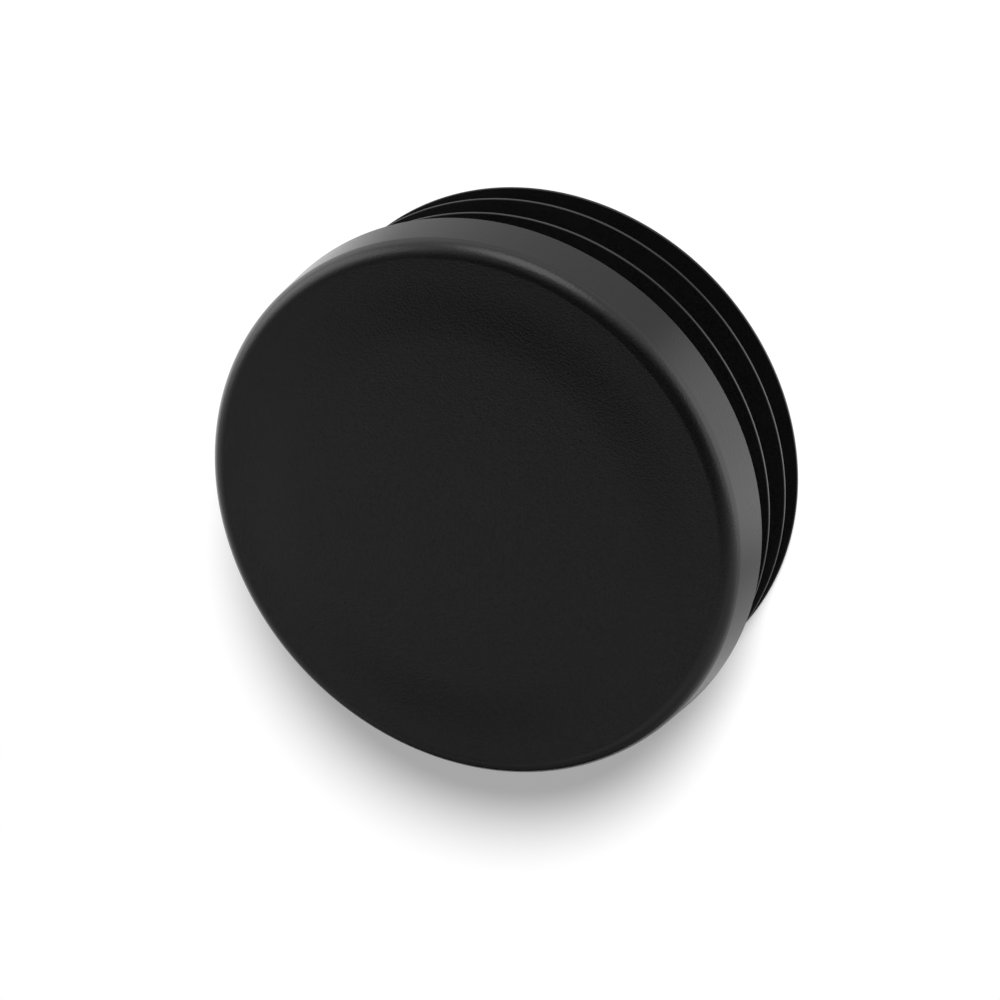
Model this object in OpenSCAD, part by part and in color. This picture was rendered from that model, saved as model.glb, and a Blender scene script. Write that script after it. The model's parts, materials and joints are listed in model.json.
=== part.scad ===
// Round plug that closes the end of a tube: a flat head with a rounded edge, and a hollow shank
// with thin ribs around it that bend and grip the tube's bore. It is moulded in one piece.
// The plug stands on the open end of its shank, head up. The origin is on its axis, at that end.

/* [Tube] */
// Outside diameter of the tube, and of the head where it meets the tube
tube_od = 60; // [45:1:100]
// Thinnest tube wall that the ribs grip
wall_min = 1.5; // [1:0.1:3]
// Thickest tube wall that the core enters
wall_max = 4; // [3.5:0.1:6]

/* [Fit] */
// How far a rib's lip stands past the bore of the thinnest tube, on the radius
lip_squeeze = 0.5; // [0.2:0.05:0.9]
// Gap between the core and the bore of the thickest tube, on the radius
core_gap = 1; // [0.6:0.1:2]

/* [Head] */
// Height of the head, from the seat on the tube's end to the face
head_h = 6.4; // [5:0.1:10]
// How much the head's side draws in between the seat and the face, on the radius
head_draw = 0.5; // [0.1:0.05:1]
// Radius of the rounding between the face and the side
edge_r = 1.8; // [0.6:0.1:3]
// Thickness of the face over the hollow
face_t = 3; // [2:0.1:4]

/* [Ribs] */
// Number of ribs
rib_count = 3; // [1:1:6]
// Distance from the seat to the first rib
first_rib = 4.95; // [3:0.05:8]
// Distance from one rib to the next
rib_pitch = 4.95; // [3:0.05:8]
// How much closer the last rib is to the one before it
last_rib_shift = 0.85; // [0:0.05:1.5]
// Thickness of a rib at its root
root_t = 0.9; // [0.6:0.05:1.5]
// Thickness of a rib at its lip
lip_t = 0.35; // [0.2:0.05:0.6]

/* [Core] */
// Wall of the core at its open end
core_wall = 2.2; // [1.4:0.1:4]
// Length of the core past the root of the last rib
tail = 0.7; // [0.6:0.1:5]
// Chamfer that leads the open end into the tube
lead_in = 0.5; // [0.2:0.1:0.6]
// Radius of the fillet between the core and the seat
seat_fillet = 0.5; // [0.2:0.1:0.6]
// How much the hollow draws in between its mouth and its floor, on the radius
hollow_draw = 0.4; // [0.1:0.05:0.8]
// Radius of the rounding around the floor of the hollow
hollow_r = 1; // [0.4:0.1:2]

/* [Hidden] */
$fn = 180;
black = "#1c1c1d";

head_r = tube_od / 2;
lip_r = head_r - wall_min + lip_squeeze;
core_r = head_r - wall_max - core_gap;
mouth_r = core_r - core_wall;

// Distance from the seat to the head side of a rib, the first rib being number 0
function rib_drop(number) =
    first_rib + number * rib_pitch - (number == rib_count - 1 ? last_rib_shift : 0);

shank_len = rib_drop(rib_count - 1) + root_t + tail;
plug_h = shank_len + head_h;
hollow_depth = plug_h - face_t;

// Depth to which a straight side runs into its rounding, so that the two always meet
blend = 0.0003;

// Half section of a disc that draws in towards its top and has a rounded rim there.
// The side is tangent to the rounding.
module drafted_disc(base_r, draw, rim_r, h) {
    flat_r = base_r - draw - rim_r;
    rim_centre = [flat_r, h - rim_r];
    to_base = [base_r, 0] - rim_centre;
    tangent_angle = atan2(to_base.y, to_base.x) + acos(rim_r / norm(to_base));
    tangent_point = rim_centre + (rim_r - blend) * [cos(tangent_angle), sin(tangent_angle)];

    polygon([[0, 0], [base_r, 0], tangent_point, [flat_r, h], [0, h]]);
    translate(rim_centre) circle(r = rim_r);
}

// Half section of the core, solid, with the chamfer at its open end and its top inside the head
module core_section() {
    polygon([
        [0, 0],
        [core_r - lead_in, 0],
        [core_r, lead_in],
        [core_r, shank_len + head_h / 2],
        [0, shank_len + head_h / 2],
    ]);
}

// Half section of one rib, flat on the head side and sloped on the other, thinner towards its lip.
// It starts inside the core's wall.
module rib_section() {
    inner_r = core_r - core_wall / 2;
    polygon([[inner_r, 0], [lip_r, 0], [lip_r, -lip_t], [core_r, -root_t], [inner_r, -root_t]]);
}

// Half section of the fillet between the core and the seat
module seat_fillet_section() {
    translate([core_r, shank_len - seat_fillet])
        difference() {
            translate([-seat_fillet, 0]) square([2 * seat_fillet, 2 * seat_fillet]);
            translate([seat_fillet, 0]) circle(r = seat_fillet);
        }
}

// Head and core in one, with the hollow inside them
module body() {
    rotate_extrude()
        difference() {
            union() {
                translate([0, shank_len]) drafted_disc(head_r, head_draw, edge_r, head_h);
                core_section();
                seat_fillet_section();
            }
            drafted_disc(mouth_r, hollow_draw, hollow_r, hollow_depth);
        }
}

module ribs() {
    for (number = [0 : rib_count - 1])
        translate([0, 0, shank_len - rib_drop(number)]) rotate_extrude() rib_section();
}

module round_plug() {
    color(black)
        union() {
            body();
            ribs();
        }
}

round_plug();
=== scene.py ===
"""Looks of a round plug in black plastic: a matt grained head, thin ribs around a hollow shank."""
import json
from math import acos, atan2, ceil, cos, hypot, pi, radians, sin, tan

import bpy
from mathutils import Matrix, Vector


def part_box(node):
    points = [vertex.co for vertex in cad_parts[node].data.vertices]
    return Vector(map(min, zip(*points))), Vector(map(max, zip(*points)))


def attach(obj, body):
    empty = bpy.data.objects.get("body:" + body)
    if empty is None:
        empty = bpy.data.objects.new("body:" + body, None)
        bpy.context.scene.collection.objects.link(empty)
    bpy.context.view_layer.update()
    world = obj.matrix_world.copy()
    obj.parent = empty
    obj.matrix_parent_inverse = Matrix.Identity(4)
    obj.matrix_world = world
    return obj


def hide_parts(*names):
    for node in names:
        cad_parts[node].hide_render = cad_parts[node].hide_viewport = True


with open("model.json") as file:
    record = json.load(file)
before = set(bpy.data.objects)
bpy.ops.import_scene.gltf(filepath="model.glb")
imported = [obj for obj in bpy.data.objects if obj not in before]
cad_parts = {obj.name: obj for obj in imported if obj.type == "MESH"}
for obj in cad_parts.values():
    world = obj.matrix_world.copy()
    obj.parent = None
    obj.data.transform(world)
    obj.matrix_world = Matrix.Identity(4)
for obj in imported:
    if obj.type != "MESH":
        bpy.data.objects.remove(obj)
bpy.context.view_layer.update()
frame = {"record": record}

MM = 0.001

# Sizes that the frame gives
NODE = "round_plug"
BODY = "root"
_, node_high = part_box(NODE)
mounts = {mount["name"]: mount for mount in frame["record"]["mounts"]}
lips = mounts["rib_lips"]
HEAD_R = node_high.x
PLUG_H = node_high.z
SEAT_Z = mounts["tube_seat"]["pos_m"][2]
LIP_R = lips["dims"]["r_mm"] * MM
LIPS_TOP = lips["pos_m"][2] + lips["dims"]["length_mm"] * MM / 2
LIPS_BOTTOM = lips["pos_m"][2] - lips["dims"]["length_mm"] * MM / 2

# Sizes that follow the solid
EDGE_R = 1.8 * MM
HEAD_DRAW = 0.5 * MM
CORE_R = 25 * MM
MOUTH_R = 22.8 * MM
RIB_PITCH = 4.95 * MM
LIP_T = 0.35 * MM
ROOT_T = 0.9 * MM
LEAD_IN = 0.5 * MM
SEAT_FILLET = 0.5 * MM
FACE_T = 3 * MM
HOLLOW_R = 1 * MM
HOLLOW_DRAW = 0.4 * MM

# Fine roundings that a mould leaves on sharp corners
SEAT_EDGE_R = 0.1 * MM
LIP_EDGE_R = 0.11 * MM
ROOT_R = 0.25 * MM
END_EDGE_R = 0.12 * MM

# The face's middle stands a little proud, and falls to the rim above the core's wall
FACE_RISE = 0.125 * MM
RISE_R = 18.5 * MM
RISE_FOOT_R = 25.8 * MM
RISE_STEPS = 16

# Convex roundings up to this radius get a painted highlight: their colour is a little paler
HIGHLIGHT_R = 0.2 * MM
HIGHLIGHT_ATTRIBUTE = "painted_highlight"
# Painted highlight where such a rounding begins and ends, from where it fades along the surface beside
# it
SIDE_HIGHLIGHT = 0.05

# Fineness of the turned mesh
TURNS = 360
ARC_STEP = radians(9)

# Surfaces of the plug, in the order of its materials: name, painted shade as the share of the colour
# kept (darker on the ribs under the head and in the hollow), size and depth of the grain, least and
# greatest roughness
SURFACES = (
    ("grained_head", 1.0, 0.2 * MM, 0.019 * MM, 0.13, 0.18),
    ("smooth_ribs", 0.75, 0.2 * MM, 0.004 * MM, 0.24, 0.34),
    ("plain_hollow", 0.9, 0.3 * MM, 0.008 * MM, 0.35, 0.45),
)
HEAD, SHANK, HOLLOW = range(len(SURFACES))

# Greys of the plastic: its dark and pale speckles, and the paler grey of the painted highlight on
# rounded edges, with a hint of blue
PLASTIC_DARK = 0.0022
PLASTIC_PALE = 0.0046
PLASTIC_HIGHLIGHT = 0.011
PLASTIC_BLUE = 1.04
PLASTIC_IOR = 1.5
SPECKLE_SIZE = 0.16 * MM
# Clouds and streaks share in how the roughness wanders. Streaks run around the plug.
CLOUD_SIZE = 5 * MM
CLOUD_SHARE = 0.6
STREAK_SIZE = 4 * MM
STREAK_SHARE = 0.4
STREAK_SQUEEZE = (1, 1, 14)
# Values of a noise between which it goes from one end of its range to the other
NOISE_LOW = 0.3
NOISE_HIGH = 0.7
# Share of the painted edge highlight that is left where it is least
LEAST_HIGHLIGHT = 0.3

# Camera, from the photograph
IMAGE_PX = 1000
FOCAL_PX = 2709
SENSOR_MM = 36
FACE_CENTRE_PX = (461.7, 519.5)
FACE_DISTANCE = 275.7 * MM
VIEW_TILT = radians(33.79)
VIEW_ROLL = radians(42.65)
CLIP_START = 1 * MM

# Floor, a hair below the plug: the greys near the plug that bounced light and the camera meet, the
# glow that lifts the camera's, and the radii between which the camera sees it turn plain white
FLOOR_R = 2.0
FLOOR_SIDES = 96
FLOOR_DROP = 0.02 * MM
FLOOR_GREY = 0.55
FLOOR_PALE = 0.65
FLOOR_LIFT = 0.37
LIT_R = 60 * MM
WHITE_R = 110 * MM
# Radii between which the floor turns white in reflections
MIRRORED_R = 42 * MM
MIRRORED_WHITE_R = 104 * MM
# Sides on which reflections show the floor dimmer or brighter, painted shade and painted light in its
# glow: azimuth, spread and level
DIM_SIDES = ((radians(-100), radians(45), 0.6), (radians(-150), radians(50), 0))
GLEAMS = ((radians(-31), radians(35), 0.9), (radians(115), radians(42), 0.45))
# How strong a gleam is at those two radii
GLEAM_NEAR = 0.85
GLEAM_FAR = 1.15

# The room is dark in an oval overhead, drawn on the plan of all directions, where the horizon is at 1:
# azimuth of its long axis, centre and half sizes along and across that axis
OVAL_AZIMUTH = radians(-32)
OVAL_CENTRE = (0.07, 0.012)
OVAL_SIZE = (0.62, 0.425)
# Divides an axis so far that it drops out of a length
FLATTENED = 1e6
# Brightness of the room from the oval outwards: share of the oval's size, and level
ROOM_LEVELS = ((0.7, 0.03), (0.9, 0.186), (1.05, 0.225), (1.2, 0.367), (1.5, 0.536), (1.8, 0.93))
ROOM_SPAN = 3
# Dim and bright patches of the room, in degrees: azimuth, elevation, reach of the core and of the
# whole. Then how many times as bright as the room around it each patch is.
ROOM_PATCHES = (
    (-152, 10, 5, 50, 0.14),
    (-138, 23, 5, 22, 1.3),
    (-97, 28, 10, 46, 0.55),
    (-172, 46.5, 3, 9, 0.3),
    (-25, 52, 5, 30, 0.52),
    (176.3, 57.8, 0.5, 9.5, 1.3),
    (165.3, 65.6, 1, 9.8, 0.2),
    (100, 40.5, 15, 41, 0.8),
    (45.9, 21.1, 1, 28, 2.6),
    (114.6, 21.8, 1, 33, 2.7),
    (-30.8, 6.5, 1, 32, 2.2),
)
# Share of the room's light that falls on diffuse surfaces
ROOM_FILL = 0.06
WHITE = (1, 1, 1, 1)

# Key lamp, which casts the shadow: its place as seen from the plug, half its width as an angle seen
# from there, and its radiance
KEY_AZIMUTH = radians(17)
KEY_ELEVATION = radians(43)
KEY_DISTANCE = 2.0
KEY_HALF_WIDTH = radians(8)
KEY_RADIANCE = 78


def drafted_corner(base_r, draw, rounding, height):
    """Radius at which a drafted side would meet its flat end if the corner had no rounding."""
    across = draw + rounding
    down = height - rounding
    lean = acos(rounding / hypot(across, down)) - atan2(down, across)
    return base_r - height * tan(lean)


def plug_corners():
    """Corners of the plug's half section, from the face's centre round to the hollow's floor.

    Each is (radius, height, rounding, surface of the stretch that starts there).
    """
    hollow_h = PLUG_H - FACE_T
    face_corner = drafted_corner(HEAD_R, HEAD_DRAW, EDGE_R, PLUG_H - SEAT_Z)
    hollow_corner = drafted_corner(MOUTH_R, HOLLOW_DRAW, HOLLOW_R, hollow_h)
    corners = [
        (0, PLUG_H, 0, HEAD),
        (face_corner, PLUG_H, EDGE_R, HEAD),
        (HEAD_R, SEAT_Z, SEAT_EDGE_R, SHANK),
        (CORE_R, SEAT_Z, SEAT_FILLET, SHANK),
    ]
    for top in (LIPS_TOP, LIPS_TOP - RIB_PITCH, LIPS_BOTTOM + LIP_T):
        corners += [
            (CORE_R, top, ROOT_R, SHANK),
            (LIP_R, top, LIP_EDGE_R, SHANK),
            (LIP_R, top - LIP_T, LIP_EDGE_R, SHANK),
            (CORE_R, top - ROOT_T, ROOT_R, SHANK),
        ]
    corners += [
        (CORE_R, LEAD_IN, END_EDGE_R, SHANK),
        (CORE_R - LEAD_IN, 0, END_EDGE_R, SHANK),
        (MOUTH_R, 0, END_EDGE_R, HOLLOW),
        (hollow_corner, hollow_h, HOLLOW_R, HOLLOW),
        (0, hollow_h, 0, HOLLOW),
    ]
    return corners


def rounded_outline(corners):
    """Points along the half section, with each rounding as an arc tangent to both sides.

    Each is (radius, height, normal's radial share, normal's axial share, surface, painted highlight).
    """
    points = []
    last = len(corners) - 1
    for number, (radius, height, rounding, surface) in enumerate(corners):
        here = Vector((radius, height))
        before = Vector(corners[max(number - 1, 0)][:2])
        after = Vector(corners[min(number + 1, last)][:2])
        come = (here - before) if number > 0 else (after - here)
        leave = (after - here) if number < last else come
        come.normalize()
        leave.normalize()
        bend = atan2(come.x * leave.y - come.y * leave.x, come.dot(leave))
        start = here - come * rounding * abs(tan(bend / 2))
        side = 1 if bend > 0 else -1
        centre = start + side * rounding * Vector((-come.y, come.x))
        steps = max(1, ceil(abs(bend) / ARC_STEP)) if rounding else 0
        # Small convex roundings get a painted highlight, strongest in the middle of the arc
        highlighted = 0 < rounding <= HIGHLIGHT_R and bend < 0
        for step in range(steps + 1):
            turn = bend * step / steps if steps else 0
            along = Matrix.Rotation(turn, 2) @ come
            normal = Vector((-along.y, along.x))
            place = centre - side * rounding * normal
            painted_highlight = SIDE_HIGHLIGHT + (1 - SIDE_HIGHLIGHT) * sin(pi * step / steps) if highlighted else 0
            points.append((place.x, place.y, normal.x, normal.y, surface, painted_highlight))
    return points


def raised_face(outline):
    """The same outline with the middle of the face raised, and rings where it falls to the rim."""
    fall_r = RISE_FOOT_R - RISE_R
    points = [(0, PLUG_H + FACE_RISE, 0, 1, HEAD, 0)]
    for step in range(RISE_STEPS + 1):
        share = step / RISE_STEPS
        slope = FACE_RISE * pi / 2 * sin(pi * share) / fall_r
        normal = Vector((slope, 1)).normalized()
        height = PLUG_H + FACE_RISE * cos(pi / 2 * share) ** 2
        points.append((RISE_R + fall_r * share, height, normal.x, normal.y, HEAD, 0))
    return points + outline[1:]


def turned_mesh(name, outline):
    """Mesh of a half section turned around Z, with true normals, a surface for each face, and the
    painted edge highlight.
    """
    verts = []
    normals = []
    painted_highlights = []
    rings = []
    stretches = []
    for radius, height, across, up, surface, painted_highlight in outline:
        count = 1 if radius == 0 else TURNS
        rings.append(range(len(verts), len(verts) + count))
        stretches.append(surface)
        for turn in range(count):
            angle = 2 * pi * turn / TURNS
            verts.append((radius * cos(angle), radius * sin(angle), height))
            normals.append((across * cos(angle), across * sin(angle), up))
            painted_highlights.append(painted_highlight)
    faces = []
    surfaces = []
    for ring, following, surface in zip(rings, rings[1:], stretches):
        for turn in range(TURNS):
            onward = (turn + 1) % TURNS
            if len(ring) == 1:
                face = (ring[0], following[turn], following[onward])
            elif len(following) == 1:
                face = (ring[turn], following[0], ring[onward])
            else:
                face = (ring[turn], following[turn], following[onward], ring[onward])
            faces.append(face)
            surfaces.append(surface)
    mesh = bpy.data.meshes.new(name)
    mesh.from_pydata(verts, [], faces)
    mesh.polygons.foreach_set("material_index", surfaces)
    mesh.polygons.foreach_set("use_smooth", [True] * len(faces))
    # Share of the painted edge highlight at each vertex
    mesh.attributes.new(HIGHLIGHT_ATTRIBUTE, "FLOAT", "POINT").data.foreach_set("value", painted_highlights)
    mesh.normals_split_custom_set_from_vertices(normals)
    mesh.validate()
    return mesh


class Graph:
    """Short way to add and join the nodes of a material or a world."""

    def __init__(self, owner):
        owner.use_nodes = True
        self.tree = owner.node_tree
        self.tree.nodes.clear()

    def node(self, kind, inputs=(), **settings):
        made = self.tree.nodes.new(kind)
        for key, value in settings.items():
            setattr(made, key, value)
        for key, value in dict(inputs).items():
            if isinstance(value, bpy.types.NodeSocket):
                self.tree.links.new(value, made.inputs[key])
            else:
                made.inputs[key].default_value = value
        return made

    def math(self, operation, first, second, clamp=False):
        made = self.node("ShaderNodeMath", {0: first, 1: second}, operation=operation, use_clamp=clamp)
        return made.outputs[0]

    def mix(self, share, first, second):
        """Colour between two others."""
        made = self.node("ShaderNodeMix", {"Factor": share}, data_type="RGBA")
        for socket, value in zip(("A_Color", "B_Color"), (first, second)):
            target = next(entry for entry in made.inputs if entry.identifier == socket)
            if isinstance(value, bpy.types.NodeSocket):
                self.tree.links.new(value, target)
            else:
                target.default_value = value
        return next(entry for entry in made.outputs if entry.identifier == "Result_Color")

    def dot(self, vector, along):
        made = self.node("ShaderNodeVectorMath", {0: vector, 1: along}, operation="DOT_PRODUCT")
        return made.outputs["Value"]

    def length(self, vector):
        return self.node("ShaderNodeVectorMath", {0: vector}, operation="LENGTH").outputs["Value"]

    def noise(self, vector, size, detail=3, roughness=0.6):
        """Noise with features of about this size, cloudy unless its detail is lower."""
        made = self.node(
            "ShaderNodeTexNoise",
            {"Vector": vector, "Scale": 1 / size, "Detail": detail, "Roughness": roughness},
        )
        return made.outputs["Fac"]

    def ramp(self, value, low, high, start, end):
        """Value from low to high, spread smoothly over start to end."""
        made = self.node(
            "ShaderNodeMapRange",
            {"Value": value, "From Min": low, "From Max": high, "To Min": start, "To Max": end},
            interpolation_type="SMOOTHSTEP",
        )
        return made.outputs[0]


def plastic_colour(grey):
    return (grey, grey, PLASTIC_BLUE * grey, 1)


def black_plastic(name, painted_shade, grain_size, grain_depth, smooth, rough):
    """Black moulded plastic with an eroded grain; roughness wanders between smooth and rough."""
    # Painted shade: both greys are scaled down on the ribs and in the hollow
    dark = plastic_colour(PLASTIC_DARK * painted_shade)
    pale = plastic_colour(PLASTIC_PALE * painted_shade)
    material = bpy.data.materials.new(name)
    graph = Graph(material)
    place = graph.node("ShaderNodeTexCoord").outputs["Object"]
    squeezed = graph.node("ShaderNodeVectorMath", {0: place, 1: STREAK_SQUEEZE}, operation="MULTIPLY")
    grain = graph.noise(place, grain_size, detail=1, roughness=0.5)
    speckle = graph.noise(place, SPECKLE_SIZE, detail=0)
    cloud = graph.noise(place, CLOUD_SIZE)
    streak = graph.noise(squeezed.outputs[0], STREAK_SIZE)

    wander = graph.math(
        "ADD",
        graph.math("MULTIPLY", cloud, CLOUD_SHARE),
        graph.math("MULTIPLY", streak, STREAK_SHARE),
    )
    roughness = graph.ramp(wander, NOISE_LOW, NOISE_HIGH, smooth, rough)
    # Painted highlight: rounded edges are mixed towards a paler grey, more or less as the clouds wander
    edge = graph.node("ShaderNodeAttribute", attribute_name=HIGHLIGHT_ATTRIBUTE).outputs["Fac"]
    painted_highlight = graph.math("MULTIPLY", edge, graph.ramp(cloud, NOISE_LOW, NOISE_HIGH, LEAST_HIGHLIGHT, 1))
    tint = graph.mix(graph.ramp(speckle, NOISE_LOW, NOISE_HIGH, 0, 1), dark, pale)
    colour = graph.mix(painted_highlight, tint, plastic_colour(PLASTIC_HIGHLIGHT))
    bump = graph.node("ShaderNodeBump", {"Strength": 1.0, "Distance": grain_depth, "Height": grain})
    shader = graph.node(
        "ShaderNodeBsdfPrincipled",
        {
            "Base Color": colour,
            "Roughness": roughness,
            "Normal": bump.outputs["Normal"],
            "IOR": PLASTIC_IOR,
        },
    )
    graph.node("ShaderNodeOutputMaterial", {"Surface": shader.outputs[0]})
    return material


def heading(azimuth, elevation):
    """Unit vector towards an azimuth from +X and an elevation."""
    return Vector((cos(elevation) * cos(azimuth), cos(elevation) * sin(azimuth), sin(elevation)))


def white_floor():
    """Material of the floor: it shows the plug's shadow near by, and is plain white further out."""
    material = bpy.data.materials.new("white_floor")
    material.cycles.emission_sampling = "NONE"
    graph = Graph(material)
    place = graph.node("ShaderNodeTexCoord").outputs["Object"]
    rays = graph.node("ShaderNodeLightPath").outputs
    mirrored_ray = graph.math("ADD", rays["Is Glossy Ray"], rays["Is Transmission Ray"], clamp=True)
    distance = graph.length(place)
    outward = graph.node("ShaderNodeVectorMath", {0: place}, operation="NORMALIZE").outputs[0]

    grey = graph.ramp(rays["Is Camera Ray"], 0, 1, FLOOR_GREY, FLOOR_PALE)
    albedo = graph.math("MULTIPLY", grey, graph.ramp(distance, LIT_R, WHITE_R, 1, 0))
    seen = graph.ramp(distance, LIT_R, WHITE_R, FLOOR_LIFT, 1)
    mirrored = graph.ramp(distance, MIRRORED_R, MIRRORED_WHITE_R, 0, 1)
    # Painted shade and painted light: the floor's glow in reflections is dimmed or brightened on some
    # sides
    for azimuth, spread, level in DIM_SIDES:
        dimming = graph.ramp(graph.dot(outward, heading(azimuth, 0)), cos(spread), 1, 1, level)
        mirrored = graph.math("MULTIPLY", mirrored, dimming)
    further = graph.ramp(distance, MIRRORED_R, MIRRORED_WHITE_R, GLEAM_NEAR, GLEAM_FAR)
    for azimuth, spread, level in GLEAMS:
        gleam = graph.ramp(graph.dot(outward, heading(azimuth, 0)), cos(spread), 1, 0, level)
        mirrored = graph.math("ADD", mirrored, graph.math("MULTIPLY", gleam, further))
    glow = graph.math(
        "ADD",
        graph.math("MULTIPLY", rays["Is Camera Ray"], seen),
        graph.math("MULTIPLY", mirrored_ray, mirrored),
    )
    diffuse = graph.node("ShaderNodeBsdfDiffuse", {"Color": albedo})
    emission = graph.node("ShaderNodeEmission", {"Strength": glow})
    both = graph.node("ShaderNodeAddShader", {0: diffuse.outputs[0], 1: emission.outputs[0]})
    graph.node("ShaderNodeOutputMaterial", {"Surface": both.outputs[0]})
    return material


def floor():
    """Round white floor that is part of the stage, not of the plug."""
    mesh = bpy.data.meshes.new("floor")
    ring = [2 * pi * turn / FLOOR_SIDES for turn in range(FLOOR_SIDES)]
    verts = [(FLOOR_R * cos(angle), FLOOR_R * sin(angle), -FLOOR_DROP) for angle in ring]
    mesh.from_pydata(verts, [], [range(FLOOR_SIDES)])
    mesh.materials.append(white_floor())
    made = bpy.data.objects.new("floor", mesh)
    bpy.context.scene.collection.objects.link(made)


def room():
    """Room that the plastic mirrors, dark overhead and paler outwards. The camera sees it white."""
    world = bpy.data.worlds.new("room")
    world.cycles.sampling_method = "NONE"
    bpy.context.scene.world = world
    graph = Graph(world)
    direction = graph.node("ShaderNodeTexCoord").outputs["Generated"]
    oval = graph.node(
        "ShaderNodeMapping",
        {
            "Vector": direction,
            "Location": Matrix.Rotation(OVAL_AZIMUTH, 3, "Z") @ Vector((*OVAL_CENTRE, 0)),
            "Rotation": (0, 0, OVAL_AZIMUTH),
            "Scale": (*OVAL_SIZE, FLATTENED),
        },
        vector_type="TEXTURE",
    )
    oval_share = graph.length(oval.outputs[0])
    levels = graph.node("ShaderNodeValToRGB", {"Fac": graph.math("DIVIDE", oval_share, ROOM_SPAN)})
    stops = levels.color_ramp.elements
    while len(stops) < len(ROOM_LEVELS):
        stops.new(1)
    for stop, (share, level) in zip(stops, ROOM_LEVELS):
        stop.position = share / ROOM_SPAN
        stop.color = (level, level, level, 1)

    rays = graph.node("ShaderNodeLightPath").outputs
    fill = graph.ramp(rays["Is Diffuse Ray"], 0, 1, 1, ROOM_FILL)
    light = graph.math("MULTIPLY", levels.outputs["Color"], fill)
    for *angles, level in ROOM_PATCHES:
        azimuth, elevation, core, reach = (radians(angle) for angle in angles)
        toward = graph.dot(direction, heading(azimuth, elevation))
        light = graph.math("MULTIPLY", light, graph.ramp(toward, cos(reach), cos(core), 1, level))
    shown = graph.node("ShaderNodeMix", {"Factor": rays["Is Camera Ray"], "A": light, "B": 1.0})
    strength = shown.outputs["Result"]
    background = graph.node("ShaderNodeBackground", {"Strength": strength, "Color": WHITE})
    graph.node("ShaderNodeOutputWorld", {"Surface": background.outputs[0]})


def key_lamp():
    """Soft round lamp aimed at the middle of the plug. Reflections don't show it."""
    half_width = KEY_DISTANCE * tan(KEY_HALF_WIDTH)
    area = pi * half_width ** 2
    data = bpy.data.lights.new("key", "AREA")
    data.shape = "DISK"
    data.size = 2 * half_width
    data.energy = KEY_RADIANCE * pi * area
    made = bpy.data.objects.new("key", data)
    toward = heading(KEY_AZIMUTH, KEY_ELEVATION)
    made.location = Vector((0, 0, PLUG_H / 2)) + toward * KEY_DISTANCE
    made.rotation_euler = toward.to_track_quat("Z", "Y").to_euler()
    made.visible_camera = False
    made.visible_glossy = False
    bpy.context.scene.collection.objects.link(made)


def camera():
    """Camera that sees the face's centre at its pixel, tilted and rolled as the photograph was taken."""
    data = bpy.data.cameras.new("camera")
    data.sensor_width = SENSOR_MM
    data.lens = SENSOR_MM * FOCAL_PX / IMAGE_PX
    data.clip_start = CLIP_START
    right = Vector((cos(VIEW_TILT) * cos(VIEW_ROLL), -sin(VIEW_ROLL), -sin(VIEW_TILT) * cos(VIEW_ROLL)))
    up = Vector((cos(VIEW_TILT) * sin(VIEW_ROLL), cos(VIEW_ROLL), -sin(VIEW_TILT) * sin(VIEW_ROLL)))
    back = Vector((sin(VIEW_TILT), 0, cos(VIEW_TILT)))
    pixel = FACE_DISTANCE / FOCAL_PX
    off_right = (FACE_CENTRE_PX[0] - IMAGE_PX / 2) * pixel
    off_up = (IMAGE_PX / 2 - FACE_CENTRE_PX[1]) * pixel
    place = Vector((0, 0, PLUG_H)) - right * off_right - up * off_up + back * FACE_DISTANCE
    made = bpy.data.objects.new("camera", data)
    made.matrix_world = Matrix((right, up, back)).transposed().to_4x4()
    made.location = place
    bpy.context.scene.collection.objects.link(made)
    bpy.context.scene.camera = made


def plug():
    """The plug, all of it one mesh with a material for each surface."""
    mesh = turned_mesh("plug", raised_face(rounded_outline(plug_corners())))
    for surface in SURFACES:
        mesh.materials.append(black_plastic(*surface))
    made = bpy.data.objects.new("plug", mesh)
    bpy.context.scene.collection.objects.link(made)
    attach(made, BODY)
    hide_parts(NODE)


camera()
plug()
floor()
room()
key_lamp()
bpy.context.scene.view_settings.view_transform = "Standard"
